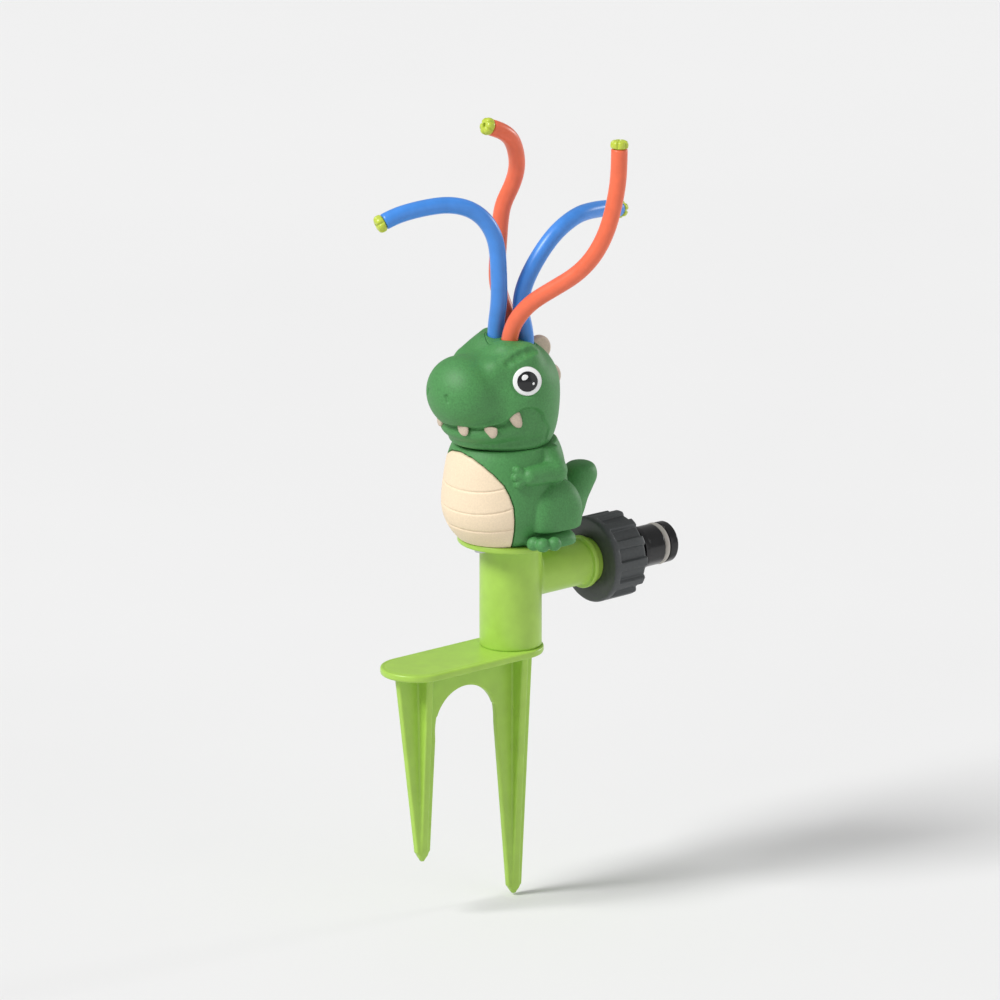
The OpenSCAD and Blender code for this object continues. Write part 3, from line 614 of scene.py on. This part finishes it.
def belly_field(p):
    skin = trunk_field(p)
    angle = np.degrees(np.arctan2(np.abs(p[:, 0]), -p[:, 1]))
    d = skin - 0.12
    for height, rise, reach in BELLY_LINES:
        off = p[:, 2] - height - rise * (angle / reach) ** 3
        d = d + 0.38 * np.exp(-(off / 0.3) ** 2)
    d = both(d, belly_distance(p) + 0.1, 0.7)
    d = both(d, -p[:, 2], 0.3)
    return both(d, -(skin + BELLY_DEPTH - 0.06), 0.2)


belly = sculpt("belly_shell", lifted(belly_field), (-25, -31, SAUCER_Z - 1), (25, -6, SAUCER_Z + 39), 0.35)
dress(belly, "stand", "belly_plastic", ("belly_panel",))


# %% [markdown]
# ## Eyes
# Each eye is three glossy domes set into each other: white, black pupil and two small glints.
# They are lathed discs, placed by walking from inside the head out to its skin.
# %% Lathe
def lathe(profile, sides, origin, axis, twist=0.0, wrap=False):
    """Turn a profile of (along, radius) pairs round an axis."""
    turn = np.linspace(0, 2 * np.pi, sides, endpoint=False) + twist
    z = np.array(axis, float) / np.linalg.norm(axis)
    x = np.cross((0, 0, 1) if abs(z[2]) < 0.9 else (1, 0, 0), z)
    x /= np.linalg.norm(x)
    y = np.cross(z, x)
    rings = [np.array(origin) + z * h + r * (np.cos(turn)[:, None] * x + np.sin(turn)[:, None] * y)
             for h, r in profile]
    return np.vstack(rings), ring_faces(len(profile), sides, wrap_rows=wrap)


def dome(radius, rise, edge, foot):
    """Profile of a low dome with a rounded rim, foot below and top at rise."""
    ball = (radius ** 2 + rise ** 2) / (2 * rise)
    out = [(foot, 0.2), (foot, radius - 0.2), (foot + 0.1, radius), (-edge, radius)]
    for r in np.linspace(radius - 0.06, 0.05, 16):
        out.append((math.sqrt(ball ** 2 - r ** 2) - ball + rise - 0.02, r))
    return out


PUPIL_R = 4.0
GLINT_R = 1.35
SMALL_GLINT_R = 0.66
DOME_SIDES = 64


def eye_pair(name, shapes, slot, stands_for):
    """The same lathed shapes on both sides; each shape is (profile, sideways, up)."""
    pieces = []
    for side in (1, -1):
        way = EYE_WAY * (side, 1, 1)
        across = np.cross((0, 0, 1), way)
        across /= np.linalg.norm(across)
        upright = np.cross(way, across)
        for profile, u, v in shapes:
            middle = eye_spot * (side, 1, 1) + across * u + upright * v
            pieces.append(lathe(profile, DOME_SIDES, middle, way))
    points, faces = merged(pieces)
    return dress(new_mesh(name, placed(points), faces), "stand", slot, stands_for)


def raised(profile, out):
    return [(h + out, r) for h, r in profile]


eye_pair("eye_white_domes", [(raised(dome(EYE_R, 0.95, 0.5, -2.2), 0.25), 0, 0)],
         "eye_white_plastic", ("eye_whites",))
eye_pair("eye_pupil_domes", [(raised(dome(PUPIL_R, 0.62, 0.2, -1.0), 0.82), 0, 0)],
         "eye_black_plastic", ("eye_pupils",))
eye_pair("eye_glint_dots", [(raised(dome(GLINT_R, 0.18, 0.1, -0.6), 1.26), -0.9, 1.45),
                            (raised(dome(SMALL_GLINT_R, 0.12, 0.1, -0.6), 1.18), 2.1, -0.75)],
         "eye_white_plastic", ("eye_glints",))

# %% [markdown]
# ## Teeth
# Six blunt cream teeth hang from the upper lip. Each is a rounded cone, wide at the gum and a
# little flattened against the jaw.
# %% Teeth
TEETH = [(15.2, 49.2, 5.0, 3.4, 0.15, 0.8), (37.0, 48.9, 5.3, 3.7, 0.12, 0.8),
         (58.5, 53.6, 5.0, 5.2, 0.35, 1.6)]
TOOTH_BACK = 1.35
TOOTH_HALF = 1.05
gums = []
for angle, top, wide, long, skew, root in TEETH:
    ahead = np.array((math.sin(math.radians(angle)), -math.cos(math.radians(angle)), 0))
    gums.append((skin_point((0, 0, top), ahead, head_base), ahead, wide, long, skew, root))


def teeth_field(p):
    s = mirrored(p)
    d = np.full(len(p), 99.0)
    for gum, ahead, wide, long, skew, root in gums:
        local = s - gum
        down = -local[:, 2]
        side = local @ np.array((-ahead[1], ahead[0], 0)) - skew * np.maximum(down, 0)
        q = np.stack([side / (wide / 2), (local @ ahead + TOOTH_BACK) / TOOTH_HALF,
                      np.where(down > 0, down / long, down / root)], axis=1)
        u = (np.abs(q) ** 2.3).sum(1) ** (1 / 2.3)
        d = np.minimum(d, (u - 1) * TOOTH_HALF)
    return d


teeth = sculpt("upper_teeth", lifted(teeth_field), (-27, -37, SAUCER_Z + 43), (27, -5, SAUCER_Z + 60), 0.22)
dress(teeth, "stand", "tooth_plastic", ("teeth",))

# %% [markdown]
# ## Cream plates
# Round, thick plates stand along the back of the head and the back. A disc with a generous
# round edge, lathed about the X axis, is all that they are.
# %% Plates on the back
BACK_PLATE = 3.4
BACK_PLATE_EDGE = 1.3


def plate_profile(radius, th, edge):
    out = [(-th / 2, 0.05)]
    for a in np.linspace(0, math.pi / 2, 7):
        out.append((-th / 2 + edge * (1 - math.cos(a)), radius - edge + edge * math.sin(a)))
    out += [(-h, r) for h, r in reversed(out)]
    return out


def plate_row(name, spots, stands_for):
    points, faces = merged(lathe(plate_profile(radius, BACK_PLATE, BACK_PLATE_EDGE), DOME_SIDES,
                                 (0, y, z), (1, 0, 0)) for y, z, radius in spots)
    return dress(new_mesh(name, placed(points), faces), "stand", "tooth_plastic", stands_for)


plate_row("head_plates", [(12.9, 72, 5.3), (17.7, 60, 5.3)], ("head_crest",))
plate_row("back_plate_row", [(17.6, 33.3, 4.2), (19.4, 25.5, 5.0)], ("back_plates",))

# %% [markdown]
# ## Ground stake
# A foot plate with a rounded rim and two pointed prongs, each a thin web crossed by a rib. All
# edges of a moulding like this are slightly round, which is what catches the light, so it is a
# field too, with every edge rounded.
# %% Stake field
PLATE = 2.8
PLATE_R = 13.9
PLATE_REACH = (-47.2, -1.5)
RIM_GROOVE = 1.5
WEB = 2.6
RIB = 3.2
PRONGS = [(-44.4, 76.2, 7.2, 1.4), (1.4, 98.1, 7.6, 0.0)]
ARCH = (-23.4, -24.7, 15.2)
WEB_OUTLINE = [(-57.2, 1), (-57.2, 0), (-47.6, -72.2), (-44.4, -76.2), (-41.2, -72.2), (-38.0, -19.5),
               (-8.8, -19.5), (-1.8, -94.5), (1.4, -98.1), (4.6, -94.5), (10.2, 0), (10.2, 1)]


def slab(x, half):
    return np.abs(x) - half


def stake_field(p):
    reach = np.clip(p[:, 1], *PLATE_REACH)
    rim = np.hypot(p[:, 0], p[:, 1] - reach)
    plate = both(rim - PLATE_R, slab(p[:, 2] - PLATE / 2, PLATE / 2), 0.9)
    plate = plate + 0.28 * np.exp(-((rim - PLATE_R + RIM_GROOVE) / 0.28) ** 2) * fade(p[:, 2], 1.8, 2.5)
    web = fenced(p[:, 1], p[:, 2], WEB_OUTLINE)
    hole = np.hypot(p[:, 1] - ARCH[0], p[:, 2] - ARCH[1]) - ARCH[2]
    web = both(cut(web, hole, 0.6), slab(p[:, 0], WEB / 2), 0.7)
    d = join(plate, web, 1.2)
    for y, long, half, lean in PRONGS:
        down = np.clip(-p[:, 2] / (long - 4.0), 0, 1)
        middle = y - lean * (1 - down)
        width = half + (1.8 - half) * down
        point = fade(-p[:, 2], long - 4.0, long) * 1.8
        rib = both(slab(p[:, 0], width - point) * 0.97, slab(p[:, 1] - middle, RIB / 2), 0.8)
        rib = both(rib, np.maximum(p[:, 2] - 1, -long - p[:, 2]), 0.4)
        d = join(d, rib, 0.9)
    return join(d, rod(p, 8.95, 2, 10.8), 0.4)


stake = sculpt("ground_spike", stake_field, (-15, -62, -99.6), (15, 14, 11.5), 0.5)
dress(stake, "stand", "stake_plastic", ("ground_stake",))

# %% [markdown]
# ## Water column
# The column, its saucer and the side inlet are one lime moulding with soft fillets. The inlet
# lies across the column, so a field joins them more easily than lathed parts would.
# %% Column field
INLET_Z = 28.8
COLUMN_R = 12.0
SAUCER_R = 20.6
SAUCER_TH = 2.4
INLET_R = 8.8
INLET_END = 44.9
COLLAR = (10.3, 34.1, 36.3)
FLANGE = (12.25, 42.4, INLET_END)
SCREW_AT = 14.7
SCREW_HOLE_R = 1.8
SCREW_TURNS = (30, 150, 270)


def inlet_rod(p, radius, low, high, k=0.3):
    side = np.hypot(p[:, 0], p[:, 2] - INLET_Z) - radius
    return both(side, np.maximum(low - p[:, 1], p[:, 1] - high), k)


def column_field(p):
    d = rod(p, COLUMN_R, PLATE, SAUCER_Z, 0.5)
    d = join(d, rod(p, SAUCER_R, SAUCER_Z - SAUCER_TH, SAUCER_Z, 0.9), 1.0)
    tube = join(inlet_rod(p, INLET_R, 0, INLET_END), inlet_rod(p, *COLLAR, 0.5), 0.4)
    tube = join(tube, inlet_rod(p, *FLANGE, 0.3), 0.3)
    d = join(d, tube, 1.6)
    d = cut(d, rod(p, 9.0, -5, 10.85), 0.2)
    d = cut(d, rod(p, 7.5, 13.8, 36), 0.3)
    d = cut(d, rod(p, 3.5, 12, 60), 0.2)
    d = cut(d, rod(p, 5.05, 38, 60), 0.2)
    d = cut(d, rod(p, 7.15, 43.8, 60), 0.2)
    for k in SCREW_TURNS:
        x, y = SCREW_AT * math.cos(math.radians(k)), SCREW_AT * math.sin(math.radians(k))
        d = cut(d, np.hypot(p[:, 0] - x, p[:, 1] - y) - SCREW_HOLE_R, 0.2)
    return cut(d, inlet_rod(p, 4.75, 0, 60), 0.4)


column = sculpt("water_column", column_field, (-22, -22, 1.5), (22, 47.5, 48), 0.45)
dress(column, "stand", "stake_plastic", ("column",))


# %% [markdown]
# ## Swivel nut
# A dark grip nut: a plain rim, then twelve broad ribs with rounded edges. It is a lathed ring
# whose outer radius rises and falls with the angle, so the ribs and the grooves between them are
# one continuous skin.
# %% Nut
NUT_SIDES = 432
NUT_RIBS = 12
NUT_GRIP_R = 16.0
RIB_FLANK = (1.45, 2.15)
NUT_PROFILE = [(42.2, 13.12, 13.12), (42.2, 8.9, 8.9), (39.15, 8.9, 8.9), (39.0, 9.05, 9.05),
               (39.0, 15.8, 15.8), (39.08, 16.15, 16.15), (39.3, 16.45, 16.45), (39.6, 16.68, 16.68),
               (39.95, 16.8, 16.8), (41.5, 16.8, 16.8), (41.75, 16.72, 16.8), (41.92, 16.5, 16.8),
               (42.0, 16.0, 16.8), (42.05, 15.4, 16.8), (42.2, 15.15, 16.8), (43, 15.1, 16.8),
               (50, 15.1, 16.75), (54.4, 15.1, 16.7), (54.9, 15.08, 16.6), (55.2, 15.0, 16.35),
               (55.42, 14.85, 15.9), (55.5, 14.6, 15.3), (55.5, 14.2, 14.6), (55.5, 13.3, 13.3),
               (55.35, 13.12, 13.12)]


def nut_points():
    turn = np.linspace(0, 2 * np.pi, NUT_SIDES, endpoint=False)
    off = np.abs((turn * NUT_RIBS / (2 * np.pi) + 0.5) % 1 - 0.5) * 2 * np.pi / NUT_RIBS * NUT_GRIP_R
    rise = 1 - fade(off, *RIB_FLANK)
    rings = [np.stack([(low + (high - low) * rise) * np.sin(turn), np.full_like(turn, y),
                       INLET_Z + (low + (high - low) * rise) * np.cos(turn)], axis=1)
             for y, low, high in NUT_PROFILE]
    return np.vstack(rings)


nut = new_mesh("grip_nut", nut_points(), ring_faces(len(NUT_PROFILE), NUT_SIDES, wrap_rows=True))
dress(nut, "nut", "nut_plastic", ("swivel_nut",))


# %% [markdown]
# ## Hose tail and its O-ring
# The black tail is turned from one profile: thread inside the nut, neck, shoulder ring, body,
# groove and end ring, with a bored water way. The O-ring is a plain torus in the groove.
# %% Rounding the corners of a profile
def rounded(profile, radius=0.3, steps=4):
    """Replace each corner of a closed profile by a small arc."""
    q = np.array(profile, float)
    out = []
    for i in range(len(q)):
        a, b, c = q[i - 1], q[i], q[(i + 1) % len(q)]
        r = min(radius, 0.45 * np.linalg.norm(a - b), 0.45 * np.linalg.norm(c - b))
        start = b + (a - b) / np.linalg.norm(a - b) * r
        end = b + (c - b) / np.linalg.norm(c - b) * r
        for t in np.linspace(0, 1, steps + 1):
            out.append((1 - t) ** 2 * start + 2 * t * (1 - t) * b + t * t * end)
    return [tuple(v) for v in out]


TAIL_PROFILE = [(47.0, 4.5), (47.0, 13.03), (55.2, 13.03), (55.2, 7.1), (61.5, 7.1), (61.5, 8.4),
                (64.1, 8.4), (64.1, 8.0), (71.5, 8.0), (71.5, 6.4), (74.3, 6.4), (74.3, 8.0),
                (77.7, 8.0), (78.5, 7.2), (78.5, 4.9), (78.1, 4.5)]
points, faces = lathe(rounded(TAIL_PROFILE), 96, (0, 0, INLET_Z), (0, 1, 0), wrap=True)
tail_piece = new_mesh("push_fit_tail", points, [f[::-1] for f in faces])
dress(tail_piece, "tail", "tail_plastic", ("hose_tail",))

ring_profile = [(72.9 + 1.32 * math.cos(a), 7.0 + 1.2 * math.sin(a))
                for a in np.linspace(0, 2 * math.pi, 24, endpoint=False)]
points, faces = lathe(ring_profile, 96, (0, 0, INLET_Z), (0, 1, 0), wrap=True)
seal = new_mesh("pale_o_ring", points, faces)
dress(seal, "tail", "o_ring_rubber", ("tail_o_ring",))


# %% [markdown]
# ## Finishes
# Each finish is a small node tree: noise in the object's own space gives the slight mottling
# that moulded plastic has, and a finer noise drives the bump. Nothing in it depends on the view.
# %% Material helper
def finish(name, colour, variation=0.08, grain=900.0, roughness=0.4, rough_change=0.08, bump=0.1,
           bump_scale=2200.0, bump_depth=0.00004, sockets=()):
    """Mottled plastic: colour varies a little, roughness varies a little, bump is fine."""
    mat = bpy.data.materials.new(name)
    mat.use_nodes = True
    nodes, links = mat.node_tree.nodes, mat.node_tree.links
    shader = nodes["Principled BSDF"]
    place = nodes.new("ShaderNodeTexCoord")
    mottle = nodes.new("ShaderNodeTexNoise")
    mottle.inputs["Scale"].default_value = grain
    mottle.inputs["Detail"].default_value = 4
    links.new(place.outputs["Object"], mottle.inputs["Vector"])
    ramp = nodes.new("ShaderNodeValToRGB")
    ramp.color_ramp.elements[0].position = 0.3
    ramp.color_ramp.elements[1].position = 0.7
    ramp.color_ramp.elements[0].color = tuple(c * (1 - variation) for c in colour) + (1,)
    ramp.color_ramp.elements[1].color = tuple(min(1, c * (1 + variation)) for c in colour) + (1,)
    links.new(mottle.outputs["Fac"], ramp.inputs["Fac"])
    links.new(ramp.outputs["Color"], shader.inputs["Base Color"])
    worn = nodes.new("ShaderNodeMapRange")
    worn.inputs["To Min"].default_value = roughness - rough_change
    worn.inputs["To Max"].default_value = roughness + rough_change
    links.new(mottle.outputs["Fac"], worn.inputs["Value"])
    links.new(worn.outputs["Result"], shader.inputs["Roughness"])
    fine = nodes.new("ShaderNodeTexNoise")
    fine.inputs["Scale"].default_value = bump_scale
    fine.inputs["Detail"].default_value = 3
    links.new(place.outputs["Object"], fine.inputs["Vector"])
    raised = nodes.new("ShaderNodeBump")
    raised.inputs["Strength"].default_value = bump
    raised.inputs["Distance"].default_value = bump_depth
    links.new(fine.outputs["Fac"], raised.inputs["Height"])
    links.new(raised.outputs["Normal"], shader.inputs["Normal"])
    for socket, value in sockets:
        shader.inputs[socket].default_value = value
    return mat


# %% The finishes themselves
FINISHES = {
    "stake_plastic": finish(
        "lime_moulding", (0.38, 0.61, 0.085), 0.05, 160, 0.36, 0.05, 0.15, 1500, 0.00003),
    "dino_plastic": finish(
        "soft_green_moulding", (0.068, 0.26, 0.072), 0.16, 1500, 0.55, 0.08, 0.5, 2600, 0.00012),
    "belly_plastic": finish(
        "cream_moulding", (0.86, 0.70, 0.50), 0.05, 1500, 0.55, 0.06, 0.4, 2600, 0.0001),
    "tooth_plastic": finish(
        "dull_cream_moulding", (0.60, 0.49, 0.38), 0.1, 1500, 0.55, 0.06, 0.5, 2600, 0.00012),
    "eye_white_plastic": finish("eye_white", (0.88, 0.88, 0.88), 0.02, 300, 0.15, 0.03, 0.03),
    "eye_black_plastic": finish("eye_black", (0.012, 0.012, 0.014), 0.1, 300, 0.14, 0.03, 0.03),
    "hose_blue": finish("blue_hose", (0.06, 0.27, 0.78), 0.05, 250, 0.34, 0.05, 0.12, 900),
    "hose_orange": finish(
        "orange_hose", (0.86, 0.16, 0.072), 0.05, 250, 0.36, 0.05, 0.12, 900),
    "nozzle_plastic": finish(
        "yellow_green_cap", (0.52, 0.62, 0.06), 0.05, 400, 0.3, 0.05, 0.1, 1500),
    "nut_plastic": finish(
        "dark_grip_plastic", (0.062, 0.068, 0.07), 0.12, 900, 0.5, 0.07, 0.3, 2600, 0.00008),
    "tail_plastic": finish(
        "black_gloss_plastic", (0.010, 0.010, 0.011), 0.1, 300, 0.22, 0.05, 0.05),
    "o_ring_rubber": finish("pale_rubber", (0.50, 0.47, 0.43), 0.06, 600, 0.6, 0.05, 0.2),
    "washer_rubber": finish("washer_rubber", (0.03, 0.03, 0.03), 0.1, 600, 0.7, 0.05, 0.2),
    "seal_rubber": finish("seal_rubber", (0.025, 0.025, 0.025), 0.1, 600, 0.6, 0.05, 0.2),
    "pipe_plastic": finish("white_pipe", (0.72, 0.72, 0.70), 0.04, 300, 0.45, 0.05, 0.1),
    "screw_steel": finish("zinc_screw", (0.55, 0.56, 0.58), 0.1, 900, 0.35, 0.08, 0.2,
                          sockets=(("Metallic", 1.0),)),
}
for slot_name, parts in HOLDERS.items():
    for part in parts:
        part.data.materials.clear()
        part.data.materials.append(FINISHES[slot_name])
slot_of_node = {row["node"]: row["material_slot"] for row in frame["record"]["subparts"]}
for node_name, node_object in frame["nodes"].items():
    for holder in node_object.material_slots:
        holder.material = FINISHES[slot_of_node[node_name]]
print(len(FINISHES), "finishes")

# %% [markdown]
# ## Studio
# A wide pale floor just under the tip of the long prong, a soft key light from the upper left, a
# weak fill from the right and a rim light from behind. The world gives an even pale fill. All
# three are sun lamps with a wide angle, so the floor is lit evenly from edge to edge.
# %% Floor, lights, world
FLOOR_Z = -98.7
FLOOR_HALF = 8000
floor = new_mesh("studio_floor", [(x * FLOOR_HALF, y * FLOOR_HALF, FLOOR_Z)
                                  for x, y in ((-1, -1), (1, -1), (1, 1), (-1, 1))], [(0, 1, 2, 3)])
floor.data.materials.append(finish("pale_floor", (0.83, 0.83, 0.83), 0.01, 3, 0.9, 0.03, 0.02, 40))


def far_light(name, spot, strength, spread, colour=(1, 1, 1)):
    """A soft light far away: spot is its direction along the view's right, up and back."""
    lamp = bpy.data.lights.new(name, "SUN")
    lamp.energy, lamp.angle, lamp.color = strength, math.radians(spread), colour
    holder = bpy.data.objects.new(name, lamp)
    bpy.context.scene.collection.objects.link(holder)
    holder.location = view_centre + view_right * spot[0] + view_up * spot[1] + view_back * spot[2]
    holder.rotation_mode = "QUATERNION"
    holder.rotation_quaternion = (view_centre - holder.location).to_track_quat("-Z", "Y")
    return holder


far_light("key_light", (-0.8, 0.8, 0.7), 2.8, 22)
far_light("fill_light", (0.9, 0.1, 0.8), 0.35, 50)
far_light("rim_light", (0.9, 0.35, -0.5), 0.8, 10)
world = bpy.data.worlds.new("studio_world")
bpy.context.scene.world = world
world.use_nodes = True
world.node_tree.nodes["Background"].inputs["Color"].default_value = (1, 1, 1, 1)
world.node_tree.nodes["Background"].inputs["Strength"].default_value = 0.34
bpy.context.scene.view_settings.view_transform = "Standard"
